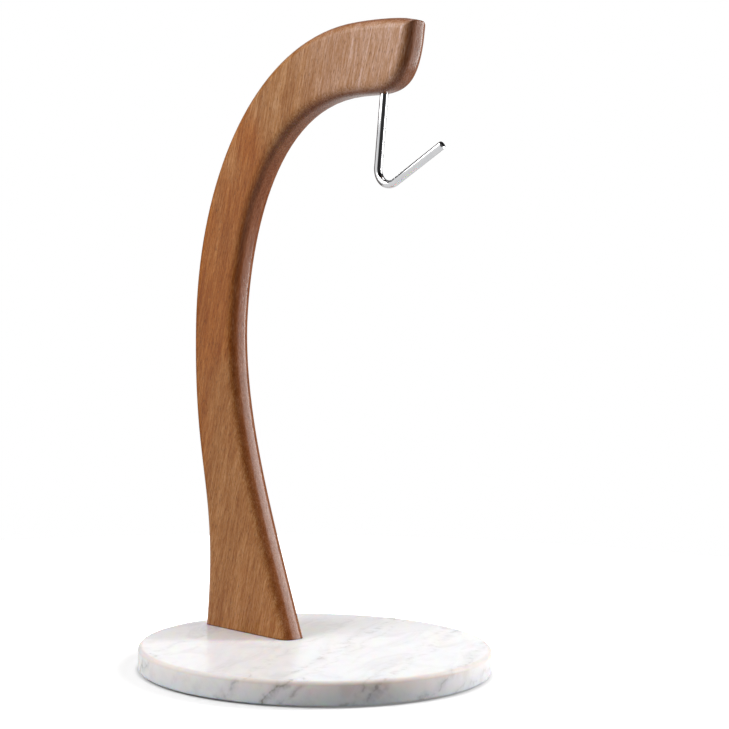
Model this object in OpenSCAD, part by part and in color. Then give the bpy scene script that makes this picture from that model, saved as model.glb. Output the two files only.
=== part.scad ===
// Banana hanger: a bent arm of solid wood stands on a polished marble disc and
// carries a chromed hook under its tip. All lengths are in millimetres.
// The origin is under the middle of the disc, on the surface that it stands on.
// The arm lies in the XZ plane, with its hook towards +X, and +Z is up.

/* [Marble base] */
// Diameter of the marble disc
base_diameter = 203.2; // [190:0.1:230]
// Thickness of the marble disc
base_thickness = 13; // [11.5:0.5:18]
// Radius of the polished round on the disc's top edge
base_top_round = 1.6; // [0.6:0.1:3]
// Radius of the round on the disc's bottom edge
base_bottom_round = 0.9; // [0.4:0.1:2]

/* [Foot pads] */
// Diameter of each stick-on pad
pad_diameter = 16; // [10:0.5:22]
// Thickness of each stick-on pad
pad_thickness = 1; // [0.8:0.1:3]
// Distance from the disc's edge to the edge of each pad
pad_edge_margin = 14; // [8:0.5:24]

/* [Arm outline] */
// Height of the arm's crown above the marble
arm_height = 354; // [330:0.5:375]
// Distance from the disc's rear edge to the heel of the arm's foot
heel_margin = 10.7; // [8:0.1:20]
// Length of the foot on the marble, from heel to toe
foot_length = 75; // [69:0.1:81]
// Distance by which the arm's back bulges out past its heel
bulge_overhang = 14.6; // [10:0.1:20]
// Height above the marble at which the arm bulges furthest
bulge_height = 182; // [165:1:195]
// Width of the arm at its waist
waist_width = 36.3; // [32:0.1:42]
// Height above the marble at which the arm's inner edge stands upright
waist_height = 181; // [168:1:196]
// Distance from the heel forward to the highest point of the crown
crown_reach = 119.7; // [110:0.1:128]
// Depth of the arm at its throat, from crown to underside
throat_depth = 41.1; // [36:0.1:48]
// Distance from the heel forward to where the underside runs level
throat_reach = 119.3; // [111:0.1:125]
// Distance from the heel forward to the arm's tip
tip_reach = 164.2; // [156:0.1:174]
// Drop of the tip's sharp corner below the crown
tip_drop = 3.8; // [2:0.1:8]

/* [Arm board] */
// Thickness of the board that the arm is cut from
arm_thickness = 17; // [16:0.5:24]
// Radius to which the board's long edges are rounded over
edge_radius = 6.35; // [4:0.05:7.5]

/* [Hook] */
// Diameter of the hook's rod
rod_diameter = 4.6; // [3.6:0.1:6.4]
// Distance from the heel forward to where the rod leaves the arm
hook_reach = 138.2; // [133:0.1:144]
// Length of the shank, from the arm's underside to the corner of the bend
shank_length = 57.5; // [48:0.5:70]
// Length of the leg, from the corner of the bend to the open end
leg_length = 55.5; // [48:0.5:66]
// Radius of the bend, at the middle of the rod
bend_radius = 9; // [6:0.5:12]
// Lean of the shank from upright, back towards the arm
shank_lean = 5; // [0:0.5:8]
// Rise of the leg from level
leg_rise = 28; // [15:1:40]
// Length of the rod that is screwed into the arm
rod_grip = 20; // [14:0.5:24]
// Chamfer on the open end of the rod
rod_chamfer = 0.5; // [0.2:0.1:1]

/* [Arm screws] */
// Diameter of the wood screws
screw_diameter = 4.5; // [3.5:0.1:5.2]
// Length of the wood screws under the head
screw_length = 40; // [30:1:46]
// Diameter of the screw heads
screw_head_diameter = 8.6; // [7.6:0.1:10]
// Height of the screw heads
screw_head_height = 2.8; // [2:0.1:3]
// Distance from the heel of the foot to the rear screw
heel_to_screw = 18; // [13:0.5:22]
// Distance from the toe of the foot to the front screw
toe_to_screw = 25; // [22:0.5:29]
// Diameter of the washers
washer_diameter = 12; // [11:0.5:13]
// Thickness of the washers
washer_thickness = 1; // [0.8:0.1:1.4]
// Diameter of the counterbores in the marble
counterbore_diameter = 14; // [13.5:0.5:17]
// Depth of the counterbores in the marble
counterbore_depth = 5; // [4.6:0.1:6.5]

/* [Hidden] */

// Smoothness of turned shapes
$fn = 96;

// Gap round a screw or a rod where it bites into the wood
bite_gap = 0.05;
// Gap all round a screw where it passes the marble or a washer
pass_gap = 0.5;
// Spare depth of a blind hole past the end of what it holds
end_gap = 1;
// A rod loses this much of its diameter where it is bent
bend_thinning = 0.06;
// Turn by which the bend runs on into each straight stretch
bend_run_on = 2;
// Overlap that carries a cutting tool past the face it cuts
cut_over = 1;

// Levels from the surface upwards
marble_bottom = pad_thickness;
marble_top = marble_bottom + base_thickness;
counterbore_ceiling = marble_bottom + counterbore_depth;
head_seat = counterbore_ceiling - washer_thickness;
crown_z = marble_top + arm_height;

// Place of the heel on the disc, and of the two screws along the foot
heel_x = heel_margin - base_diameter / 2;
rear_screw_x = heel_x + heel_to_screw;
front_screw_x = heel_x + foot_length - toe_to_screw;

// Named points of the arm's outline, in the XZ plane
heel = [heel_x, marble_top];
toe = [heel_x + foot_length, marble_top];
bulge = [heel_x - bulge_overhang, marble_top + bulge_height];
waist = [bulge[0] + waist_width, marble_top + waist_height];
crown = [heel_x + crown_reach, crown_z];
throat = [heel_x + throat_reach, crown_z - throat_depth];
tip = [heel_x + tip_reach, crown_z - tip_drop];

// Directions in which the outline passes those points, in degrees from +X
UP = 90;
FORWARD = 0;
heel_heading = 84.3;
toe_heading = 111.4;
brow_heading = -16.5;
face_heading = 85.3;

// Each curve of the outline: start, heading, pull, end, heading, pull
BACK_CURVE = [heel, heel_heading, 88.5, bulge, UP, 94];
CREST_CURVE = [bulge, UP, 95, crown, FORWARD, 80.6];
BROW_CURVE = [crown, FORWARD, 8, tip, brow_heading, 13];
SHIN_CURVE = [toe, toe_heading, 64.7, waist, UP, 58.3];
THROAT_CURVE = [waist, UP, 4, throat, FORWARD, 97.5];
CHIN_CURVE = [throat, FORWARD, 25, tip, face_heading, 43.5];

// Steps along the lower, the middle and the last curve of each side
LOWER_STEPS = 16;
MIDDLE_STEPS = 28;
LAST_STEPS = 14;
// Steps of the rounding between a face and the edge
ROUND_STEPS = 6;
// Length of outline kept free beside the tip, as a share of the edges' radius,
// because the mitre moves back along the outline as the board is rounded
TIP_ROOM = 1.1;

function heading(angle) = [cos(angle), sin(angle)];
function left_of(v) = [-v[1], v[0]];
function unit(v) = v / norm(v);

// The four control points of a curve
function pulls(c) = [
    c[0], c[0] + c[2] * heading(c[1]), c[3] - c[5] * heading(c[4]), c[3]
];
// A point of a cubic curve, and the direction in which the curve passes it
function curve_point(p, t) =
    pow(1 - t, 3) * p[0] + 3 * pow(1 - t, 2) * t * p[1]
    + 3 * (1 - t) * t * t * p[2] + pow(t, 3) * p[3];
function curve_way(p, t) = unit(
    pow(1 - t, 2) * (p[1] - p[0]) + 2 * (1 - t) * t * (p[2] - p[1]) + t * t * (p[3] - p[2])
);

// Stations along one side of the arm, as [point, outward direction]. The last
// point of a curve is left out, because the next curve starts with it.
function stations(curve, steps, side, step) = [
    for (i = [0:steps - 1])
        let (p = pulls(curve), t = i * step)
            [curve_point(p, t), side * left_of(curve_way(p, t))]
];
// The last curve's stations stop short of the tip, by the room for its mitre
function short_step(curve) =
    (1 - TIP_ROOM * edge_radius / (3 * curve[5])) / (LAST_STEPS - 1);
function side_stations(curves, side) = concat(
    stations(curves[0], LOWER_STEPS, side, 1 / LOWER_STEPS),
    stations(curves[1], MIDDLE_STEPS, side, 1 / MIDDLE_STEPS),
    stations(curves[2], LAST_STEPS, side, short_step(curves[2]))
);

// At a corner of the foot the rounding runs straight down into the marble
function along_foot(n) = [1 / n[0], 0];
// At the tip the roundings of both edges meet in a mitre
function mitre(n, m) = (n + m) / (1 + n * m);

back_side = side_stations([BACK_CURVE, CREST_CURVE, BROW_CURVE], 1);
front_side = side_stations([SHIN_CURVE, THROAT_CURVE, CHIN_CURVE], -1);
tip_station = [tip, mitre(left_of(heading(brow_heading)), -left_of(heading(face_heading)))];

function footed(side) = [
    for (i = [0:len(side) - 1])
        i == 0 ? [side[0][0], along_foot(side[0][1])] : side[i]
];
// All stations in one closed round: up the back, over the tip, down the front
outline = concat(
    footed(back_side), [tip_station],
    [for (i = [len(front_side) - 1:-1:0]) footed(front_side)[i]]
);

// Levels across the thickness, as [inset from the outline, place across]
half_edge = [
    for (i = [ROUND_STEPS:-1:0])
        let (a = 90 * i / ROUND_STEPS)
            [edge_radius * (1 - cos(a)), arm_thickness / 2 - edge_radius * (1 - sin(a))]
];
levels = concat(
    [for (e = half_edge) [e[0], -e[1]]],
    [for (i = [ROUND_STEPS:-1:0]) half_edge[i]]
);

// The hook's own frame has its origin where the rod leaves the wood, with -Z
// along the shank and +X towards the open end
turn = 90 + shank_lean + leg_rise;
bend_cut = bend_radius * tan(turn / 2);
hook_root = [heel_x + hook_reach, 0, throat[1]];

module on_hook_axis() {
    translate(hook_root) rotate([0, shank_lean, 0]) children();
}

module marble_base() {
    color("whitesmoke")
    translate([0, 0, marble_bottom])
    difference() {
        marble_disc();
        for (x = [rear_screw_x, front_screw_x]) translate([x, 0, 0]) screw_well();
    }
}

// The disc is turned from a profile with a round on each edge
module marble_disc() {
    r = base_diameter / 2;
    rotate_extrude() {
        square([r - base_top_round, base_thickness]);
        translate([0, base_bottom_round])
            square([r, base_thickness - base_top_round - base_bottom_round]);
        translate([r - base_top_round, base_thickness - base_top_round])
            circle(base_top_round);
        square([r - base_bottom_round, base_thickness / 2]);
        translate([r - base_bottom_round, base_bottom_round]) circle(base_bottom_round);
    }
}

// A clearance hole with a counterbore from below
module screw_well() {
    translate([0, 0, -cut_over])
        cylinder(d = counterbore_diameter, h = counterbore_depth + cut_over);
    cylinder(d = screw_diameter + 2 * pass_gap, h = base_thickness + cut_over);
}

module wooden_arm() {
    color("sienna")
    difference() {
        arm_board();
        for (x = [rear_screw_x, front_screw_x])
            translate([x, 0, marble_top - cut_over]) screw_pilot();
        on_hook_axis() rod_pilot();
    }
}

// The board with its softly rounded edges: one ring of points for each level,
// skinned from ring to ring and closed by a ladder of triangles on each face
module arm_board() {
    n = len(outline);
    last = len(levels) - 1;
    points = [
        for (level = levels, s = outline)
            let (p = s[0] - level[0] * s[1])
                [p[0], level[1], p[1]]
    ];
    skin = [
        for (j = [0:last - 1], i = [0:n - 1])
            let (k = (i + 1) % n, a = j * n + i, b = j * n + k)
                each [[a, b, a + n], [b, b + n, a + n]]
    ];
    // Rungs join the stations of the back to those of the front
    rungs = (n - 1) / 2;
    near_face = [
        for (i = [0:rungs - 1])
            let (a = i, b = i + 1, c = n - 2 - i, d = n - 1 - i)
                each (b == c ? [[a, d, b]] : [[a, d, b], [b, d, c]])
    ];
    far_face = [for (f = near_face) [for (v = [2:-1:0]) f[v] + last * n]];
    polyhedron(points = points, faces = concat(skin, near_face, far_face));
}

module screw_pilot() {
    into_wood = screw_length - (marble_top - head_seat);
    cylinder(d = screw_diameter + 2 * bite_gap, h = into_wood + end_gap + cut_over);
}

module rod_pilot() {
    translate([0, 0, -rod_grip])
        cylinder(d = rod_diameter + 2 * bite_gap, h = 2 * rod_grip + end_gap);
}

module banana_hook() {
    color("silver")
    on_hook_axis() {
        translate([0, 0, bend_cut - shank_length]) {
            rod(rod_grip + shank_length - bend_cut);
            hook_bend();
        }
        translate([0, 0, -shank_length]) rotate([0, 180 - turn, 0])
            translate([0, 0, bend_cut]) rod(leg_length - bend_cut);
    }
}

// A straight stretch of the rod, with its chamfered end up
module rod(length) {
    cylinder(d = rod_diameter, h = length - rod_chamfer);
    translate([0, 0, length - rod_chamfer])
        cylinder(d1 = rod_diameter, d2 = rod_diameter - 2 * rod_chamfer, h = rod_chamfer);
}

// The bend starts at the foot of the shank and turns towards +X
module hook_bend() {
    translate([bend_radius, 0, 0]) rotate([-90, 0, 0])
        rotate_extrude(angle = -turn - 2 * bend_run_on, start = 180 + bend_run_on)
            translate([bend_radius, 0]) circle(d = rod_diameter - bend_thinning);
}

module arm_screw(x) {
    color("gainsboro")
    translate([x, 0, head_seat]) {
        difference() {
            screw_head();
            cross_recess();
        }
        cylinder(d = screw_diameter, h = screw_length - screw_diameter);
        translate([0, 0, screw_length - screw_diameter])
            cylinder(d1 = screw_diameter, d2 = 0.4, h = screw_diameter);
    }
}

// A pan head: a low drum with a domed face, hanging under the washer
module screw_head() {
    dome = screw_head_height * 0.4;
    r = screw_head_diameter / 2;
    dome_r = (r * r + dome * dome) / (2 * dome);
    translate([0, 0, dome - screw_head_height]) cylinder(r = r, h = screw_head_height - dome);
    intersection() {
        translate([0, 0, dome_r - screw_head_height]) sphere(dome_r);
        translate([0, 0, -screw_head_height]) cylinder(r = r, h = dome + 0.01);
    }
}

module cross_recess() {
    slot = [screw_head_diameter * 0.55, screw_head_diameter * 0.14, screw_head_height * 0.6];
    for (a = [0, 90])
        rotate(a) translate([-slot[0] / 2, -slot[1] / 2, -screw_head_height - slot[2] / 3])
            cube(slot);
}

module washer(x) {
    color("silver")
    translate([x, 0, head_seat])
    difference() {
        cylinder(d = washer_diameter, h = washer_thickness);
        translate([0, 0, -cut_over])
            cylinder(d = screw_diameter + 2 * pass_gap, h = washer_thickness + 2 * cut_over);
    }
}

// The pads sit in the four quarters of the disc, stuck to its underside
module foot_pad(number) {
    color("dimgray")
    rotate(90 * number - 45)
    translate([base_diameter / 2 - pad_edge_margin - pad_diameter / 2, 0, 0])
        cylinder(d = pad_diameter, h = pad_thickness);
}

marble_base();
wooden_arm();
banana_hook();
arm_screw(rear_screw_x);  // arm_screw_rear
arm_screw(front_screw_x);  // arm_screw_front
washer(rear_screw_x);  // washer_rear
washer(front_screw_x);  // washer_front
foot_pad(1);  // foot_pad_1
foot_pad(2);  // foot_pad_2
foot_pad(3);  // foot_pad_3
foot_pad(4);  // foot_pad_4
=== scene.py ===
# %% [markdown]
# # A marble banana hanger
# The real object is a board of reddish hardwood, sawn to a bent arm and screwed
# to a polished marble disc, with a chromed rod hook under its tip. A frame of
# plain solids already fixes every size, so the work here is what the eye meets:
# rounded edges, grain, veins, polish and a quiet studio. Each new piece is
# modelled where its solid stands, in metres, and then takes that solid's place.

# %% Load the frame
import math

import bmesh
import bpy
from mathutils import Matrix, Vector


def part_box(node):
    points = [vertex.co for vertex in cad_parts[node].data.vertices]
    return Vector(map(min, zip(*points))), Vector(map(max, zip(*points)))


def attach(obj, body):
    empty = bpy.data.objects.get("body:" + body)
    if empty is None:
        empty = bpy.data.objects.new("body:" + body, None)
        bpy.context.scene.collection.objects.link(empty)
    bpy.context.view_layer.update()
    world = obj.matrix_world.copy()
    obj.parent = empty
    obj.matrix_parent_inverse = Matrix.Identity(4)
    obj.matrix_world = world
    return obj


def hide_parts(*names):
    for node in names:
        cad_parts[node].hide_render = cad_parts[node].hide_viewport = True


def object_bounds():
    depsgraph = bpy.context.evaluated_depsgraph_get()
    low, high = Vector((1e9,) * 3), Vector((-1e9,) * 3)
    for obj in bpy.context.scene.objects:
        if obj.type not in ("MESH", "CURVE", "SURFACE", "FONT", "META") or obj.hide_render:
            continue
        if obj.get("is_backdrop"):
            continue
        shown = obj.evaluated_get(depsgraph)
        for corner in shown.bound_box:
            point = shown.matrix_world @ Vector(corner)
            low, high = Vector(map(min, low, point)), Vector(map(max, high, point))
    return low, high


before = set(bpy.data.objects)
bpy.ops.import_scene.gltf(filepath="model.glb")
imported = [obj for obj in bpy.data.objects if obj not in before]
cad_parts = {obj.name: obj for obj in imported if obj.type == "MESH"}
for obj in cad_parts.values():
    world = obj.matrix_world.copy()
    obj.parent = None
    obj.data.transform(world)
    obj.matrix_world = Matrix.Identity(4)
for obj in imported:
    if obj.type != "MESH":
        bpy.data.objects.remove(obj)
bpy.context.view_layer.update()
MM = 0.001
disc_low, disc_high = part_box("marble_base")
arm_low, arm_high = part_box("wooden_arm")
marble_top = disc_high.z

# %% [markdown]
# ## The camera
# A product photographer stands well back with a long lens, so that upright
# lines stay upright. The camera here stands about a metre away, at about half
# the arm's height, 46 degrees round from the arm's side. It could be aimed with
# a constraint, but three turns in a row say exactly how it is held.

# %% Place the camera
LENS = 81.5
SENSOR_WIDTH = 36
CAMERA_PLACE = Vector((682.3, -661.1, 198.0)) * MM
AZIMUTH = math.radians(44.365)
TILT_DOWN = math.radians(1.338)
ROLL = math.radians(0.983)

camera_data = bpy.data.cameras.new("studio_camera")
camera_data.lens = LENS
camera_data.sensor_width = SENSOR_WIDTH
camera = bpy.data.objects.new("studio_camera", camera_data)
bpy.context.scene.collection.objects.link(camera)
camera.matrix_world = (
    Matrix.Translation(CAMERA_PLACE)
    @ Matrix.Rotation(AZIMUTH, 4, "Z")
    @ Matrix.Rotation(math.pi / 2 - TILT_DOWN, 4, "X")
    @ Matrix.Rotation(ROLL, 4, "Z")
)
bpy.context.scene.camera = camera
print("camera is", round(CAMERA_PLACE.length, 3), "m from the middle of the base")

# %% [markdown]
# ## The outline of the arm
# The maker draws the arm on a board and saws it out. Seven points carry the
# drawing: heel and toe at the foot, the bulge of the back, the crown, the tip,
# the throat under it, and the waist where the arm is slimmest from the side.
# Each is measured from the heel, the marble or the crown, as on a drawing with
# its dimensions, so that one size can change without redrawing the rest.

# %% Mark the points of the outline
FOOT_LENGTH = 75 * MM
BULGE_OVERHANG = 14.6 * MM
BULGE_HEIGHT = 182 * MM
WAIST_WIDTH = 36.3 * MM
WAIST_HEIGHT = 181 * MM
ARM_HEIGHT = 354 * MM
CROWN_REACH = 119.7 * MM
THROAT_REACH = 119.3 * MM
THROAT_DEPTH = 41.1 * MM
TIP_REACH = 164.2 * MM
TIP_DROP = 3.8 * MM

bulge = Vector((arm_low.x, 0, marble_top + BULGE_HEIGHT))
heel = Vector((bulge.x + BULGE_OVERHANG, 0, marble_top))
toe = heel + Vector((FOOT_LENGTH, 0, 0))
waist = Vector((bulge.x + WAIST_WIDTH, 0, marble_top + WAIST_HEIGHT))
crown = Vector((heel.x + CROWN_REACH, 0, marble_top + ARM_HEIGHT))
throat = Vector((heel.x + THROAT_REACH, 0, crown.z - THROAT_DEPTH))
tip = Vector((heel.x + TIP_REACH, 0, crown.z - TIP_DROP))
print("arm reaches", round((tip.x - bulge.x) / MM, 1), "mm from bulge to tip")

# %% [markdown]
# A Bezier curve is the natural tool for this line. At each stop it has one
# direction, and two handle lengths say how far it keeps to that direction: long
# handles give a slow bend, short ones a quick turn. A direction is written as
# its angle from +X in the plane of the board. Both ends run on below the foot,
# to be sawn off flat once the edges are round.

# %% List the stops of the pencil
HEEL_HEADING = 84.3
TOE_HEADING = 111.4
BROW_HEADING = -16.5
FACE_HEADING = 85.3
RUN_ON = 9 * MM


def heading(degrees):
    """The direction at that angle from +X, in the plane of the board."""
    return Vector((math.cos(math.radians(degrees)), 0, math.sin(math.radians(degrees))))


# Each stop: its point, then heading and handle in, then heading and handle out,
# in degrees and mm.
STOPS = [
    (heel - heading(HEEL_HEADING) * RUN_ON, 0, 0, HEEL_HEADING, 3),
    (heel, HEEL_HEADING, 3, HEEL_HEADING, 88.5),
    (bulge, 90, 94, 90, 95),
    (crown, 0, 80.6, 0, 8),
    (tip, BROW_HEADING, 13, FACE_HEADING + 180, 43.5),
    (throat, 180, 25, 180, 97.5),
    (waist, -90, 4, -90, 58.3),
    (toe, TOE_HEADING + 180, 64.7, TOE_HEADING + 180, 3),
    (toe - heading(TOE_HEADING) * RUN_ON, TOE_HEADING + 180, 3, 0, 0),
]
print("the pencil makes", len(STOPS), "stops")

# %% [markdown]
# Operators act on whatever is selected, and the frame's solids still are. So
# the first helper clears the selection and makes one object active, and every
# step after this one starts with it. The curve is then turned into a mesh, a
# plain chain of points.

# %% Draw the outline
OUTLINE_STEPS = 36


def work_on(piece):
    """Makes piece the only selected and the active object."""
    if bpy.context.object and bpy.context.object.mode != "OBJECT":
        bpy.ops.object.mode_set(mode="OBJECT")
    bpy.ops.object.select_all(action="DESELECT")
    piece.select_set(True)
    bpy.context.view_layer.objects.active = piece


bpy.ops.curve.primitive_bezier_curve_add(location=(0, 0, 0))
arm = bpy.context.object
arm.data.dimensions = "3D"
arm.data.resolution_u = OUTLINE_STEPS
spline = arm.data.splines[0]
spline.bezier_points.add(len(STOPS) - 2)
for stop, (place, way_in, pull_in, way_out, pull_out) in zip(spline.bezier_points, STOPS):
    stop.handle_left_type = stop.handle_right_type = "FREE"
    stop.co = place
    stop.handle_left = place - heading(way_in) * pull_in * MM
    stop.handle_right = place + heading(way_out) * pull_out * MM
work_on(arm)
bpy.ops.object.convert(target="MESH")
print("outline has", len(arm.data.vertices), "points")

# %% [markdown]
# ## Rounding the board
# A router with a quarter inch bit runs round both long edges and leaves a
# quarter circle of 6.35 mm. A bevel could do the same, but it would crowd the
# points at the tip's corner. So outline points that the corner would overtake
# are taken out first. By hand they would be clicked. Here a helper picks them
# with a test, by their place.

# %% Clear the outline near its corners
EDGE_RADIUS = 6.35 * MM
TIP_ROOM = 1.1 * EDGE_RADIUS
SAME_PLACE = 1e-6


def edit(piece):
    """Opens piece in edit mode with nothing selected."""
    work_on(piece)
    bpy.ops.object.mode_set(mode="EDIT")
    bpy.ops.mesh.select_mode(type="VERT")
    bpy.ops.mesh.select_all(action="DESELECT")


def pick(piece, kind, test):
    """Selects the faces, edges or verts of piece for which test is true."""
    bpy.ops.mesh.select_mode(type=kind[:-1].upper())
    bpy.ops.mesh.select_all(action="DESELECT")
    mesh = bmesh.from_edit_mesh(piece.data)
    mesh.normal_update()
    found = [part for part in getattr(mesh, kind) if test(part)]
    for part in found:
        part.select_set(True)
    mesh.select_flush_mode()
    bmesh.update_edit_mesh(piece.data)
    return len(found)


def crowds_a_corner(point):
    """True for outline points too near the tip, or below the foot but not its ends."""
    near_tip = SAME_PLACE < (point.co - tip).length < TIP_ROOM
    return near_tip or (point.co.z < marble_top - SAME_PLACE and len(point.link_edges) == 2)


edit(arm)
bpy.ops.mesh.select_all(action="SELECT")
bpy.ops.mesh.remove_doubles(threshold=SAME_PLACE)
print("outline points taken out:", pick(arm, "verts", crowds_a_corner))
bpy.ops.mesh.dissolve_verts()

# %% [markdown]
# The outline is filled with one face, which is moved to where the rounding
# starts. Then the quarter circle is made ring by ring, with insets: each shrinks
# the face a little and lifts it a little, by the cosine and the sine of the same
# angle, and at the tip the rings run down their mitre by themselves. A last
# inset, with no lift, keeps the flat side flat when the light plays on it.

# %% Round the edge, ring by ring
ARM_HALF = arm_high.y
ROUND_STEPS = 14
FLAT_RING = 0.35 * MM

bpy.ops.mesh.select_all(action="SELECT")
bpy.ops.mesh.edge_face_add()
bpy.ops.transform.translate(value=(0, EDGE_RADIUS - ARM_HALF, 0))
pick(arm, "faces", lambda face: True)
if bmesh.from_edit_mesh(arm.data).faces[:][0].normal.y > 0:
    bpy.ops.mesh.flip_normals()
for step in range(ROUND_STEPS):
    before = math.pi / 2 * step / ROUND_STEPS
    after = math.pi / 2 * (step + 1) / ROUND_STEPS
    bpy.ops.mesh.inset(
        thickness=EDGE_RADIUS * (math.cos(before) - math.cos(after)),
        depth=EDGE_RADIUS * (math.sin(after) - math.sin(before)),
        use_even_offset=True,
    )
bpy.ops.mesh.inset(thickness=FLAT_RING, depth=0, use_even_offset=True)
print("half the board has", len(bmesh.from_edit_mesh(arm.data).faces), "faces")

# %% [markdown]
# Only the near half of the board is there so far. Its rim is extruded to the
# middle plane, a Mirror modifier makes the far half and joins the two, and a
# bisect with its fill saws the foot off level with the marble.

# %% Mirror the board and saw the foot


def modify(piece, kind, **settings):
    """Adds a modifier to piece and applies it."""
    work_on(piece)
    modifier = piece.modifiers.new(kind.lower(), kind)
    for name, value in settings.items():
        setattr(modifier, name, value)
    bpy.ops.object.modifier_apply(modifier=modifier.name)


def done(piece):
    """Turns all faces outwards and leaves edit mode."""
    bpy.ops.mesh.select_all(action="SELECT")
    bpy.ops.mesh.normals_make_consistent(inside=False)
    bpy.ops.object.mode_set(mode="OBJECT")


pick(arm, "edges", lambda edge: edge.is_boundary)
to_middle = (0, ARM_HALF - EDGE_RADIUS, 0)
bpy.ops.mesh.extrude_edges_move(TRANSFORM_OT_translate={"value": to_middle})
bpy.ops.object.mode_set(mode="OBJECT")
modify(arm, "MIRROR", use_axis=(False, True, False), use_clip=True, merge_threshold=0.01 * MM)

edit(arm)
bpy.ops.mesh.select_all(action="SELECT")
bpy.ops.mesh.bisect(
    plane_co=(0, 0, marble_top), plane_no=(0, 0, 1), clear_inner=True, use_fill=True,
)
done(arm)
print("board is", round(arm.dimensions.y / MM, 2), "mm thick")

# %% [markdown]
# Where the crown's edge meets the end face, the two roundings form a mitre. Fine
# sanding has softened it, which shows as a thin light line down the tip. The
# ridge is found by its sharp turn, and bevelled by about a millimetre.

# %% Soften the mitre at the tip
MITRE_ROUND = 0.9 * MM
MITRE_REACH = 1.6 * EDGE_RADIUS
SHARP_TURN = math.radians(25)


def on_mitre(edge):
    """True for the sharp edges that run round the tip, where both roundings meet."""
    near_tip = all((v.co - tip).xz.length < MITRE_REACH for v in edge.verts)
    return near_tip and edge.calc_face_angle(0) > SHARP_TURN


edit(arm)
print("mitre edges:", pick(arm, "edges", on_mitre))
bpy.ops.mesh.bevel(offset=MITRE_ROUND, segments=4, affect="EDGES", clamp_overlap=True)
done(arm)

# %% [markdown]
# ## Bores in the arm
# The hook's rod sits in a bore from below, and two wood screws hold the foot. A
# drill could be drawn as faces of the board, but a Boolean cut with a round
# cutter is what a drill does, and it leaves clean walls wherever it enters.

# %% Bore the arm
ROD = 4.6 * MM
SCREW = 4.5 * MM
BORE_GAP = 0.1 * MM
BORE_SIDES = 64
SHANK_LEAN = math.radians(5)
ROD_GRIP = 20 * MM
HOOK_REACH = 138.2 * MM
PILOT_DEPTH = 40 * MM
hook_root = Vector((heel.x + HOOK_REACH, 0, throat.z))
shank_up = Vector((math.sin(SHANK_LEAN), 0, math.cos(SHANK_LEAN)))


def cut_round(piece, diameter, low_end, high_end):
    """Bores a round hole through piece from one point to another."""
    way = high_end - low_end
    bpy.ops.mesh.primitive_cylinder_add(
        vertices=BORE_SIDES, radius=diameter / 2, depth=way.length,
        location=(low_end + high_end) / 2, rotation=way.to_track_quat("Z", "Y").to_euler(),
    )
    cutter = bpy.context.object
    modify(piece, "BOOLEAN", operation="DIFFERENCE", object=cutter, solver="EXACT")
    bpy.data.objects.remove(cutter)


cut_round(
    arm, ROD + BORE_GAP, hook_root - shank_up * ROD_GRIP, hook_root + shank_up * (ROD_GRIP + MM),
)
screw_places = {}
for end in ("rear", "front"):
    low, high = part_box("arm_screw_" + end)
    screw_places[end] = Vector(((low.x + high.x) / 2, 0, low.z))
    top = Vector((screw_places[end].x, 0, high.z + MM))
    cut_round(arm, SCREW + BORE_GAP, top - Vector((0, 0, PILOT_DEPTH)), top)
print("screws stand at x, mm:", [round(place.x / MM, 1) for place in screw_places.values()])

# %% [markdown]
# The round edges are shaded smooth, and edges that turn by more than a set
# angle stay crisp. A finished piece keeps no place, turn or scale of its own:
# they are put into its mesh, so that grain which is laid out from the origin
# lies the same way on every piece.

# %% Finish the arm


def smooth(piece, degrees):
    """Smooth shading, with creases kept where faces turn by more than that."""
    work_on(piece)
    bpy.ops.object.shade_smooth_by_angle(angle=math.radians(degrees))


def fix_place(piece):
    """Puts the place, turn and scale of piece into its mesh."""
    work_on(piece)
    bpy.ops.object.transform_apply(location=True, rotation=True, scale=True)


def settle(piece, name):
    """Names a finished piece and fixes its place."""
    fix_place(piece)
    piece.name = piece.data.name = name
    size = [round(v / MM, 2) for v in piece.dimensions]
    print(name, "has", len(piece.data.polygons), "faces and measures", size, "mm")
    return piece


smooth(arm, 30)
settle(arm, "hardwood_arm")

# %% [markdown]
# ## The hook
# One steel rod, bent cold and plated. A curve with a round bevel would be
# quicker, but it is drawn here as it is bent: a disc as thick as the rod is
# extruded down the shank, spun round the centre of the bend, and extruded along
# the open leg. The bend eats a little of both straight lengths, as much as the
# radius times the tangent of half the turn.

# %% Work out the bend
SHANK_LENGTH = 57.5 * MM
LEG_LENGTH = 55.5 * MM
LEG_RISE = math.radians(28)
BEND_RADIUS = 9 * MM
TURN = math.pi / 2 + SHANK_LEAN + LEG_RISE
bend_cut = BEND_RADIUS * math.tan(TURN / 2)
shank_out = Vector((math.cos(SHANK_LEAN), 0, -math.sin(SHANK_LEAN)))
corner = hook_root - shank_up * SHANK_LENGTH
bend_centre = corner + shank_up * bend_cut + shank_out * BEND_RADIUS
leg_way = Vector((math.cos(LEG_RISE), 0, math.sin(LEG_RISE)))
print("the bend takes", round(bend_cut / MM, 1), "mm of each straight length")

# %% Bend the rod
BEND_STEPS = 40

bpy.ops.mesh.primitive_circle_add(
    vertices=48, radius=ROD / 2, fill_type="NGON",
    location=hook_root + shank_up * ROD_GRIP, rotation=(0, SHANK_LEAN, 0),
)
hook = bpy.context.object
fix_place(hook)
edit(hook)
bpy.ops.mesh.select_all(action="SELECT")
shank_way = -shank_up * (ROD_GRIP + SHANK_LENGTH - bend_cut)
bpy.ops.mesh.extrude_region_move(TRANSFORM_OT_translate={"value": shank_way})
bpy.ops.mesh.spin(steps=BEND_STEPS, angle=TURN, center=bend_centre, axis=(0, 1, 0))
leg = leg_way * (LEG_LENGTH - bend_cut)
bpy.ops.mesh.extrude_region_move(TRANSFORM_OT_translate={"value": leg})
print("rod turned through", round(math.degrees(TURN)), "degrees")

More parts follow.
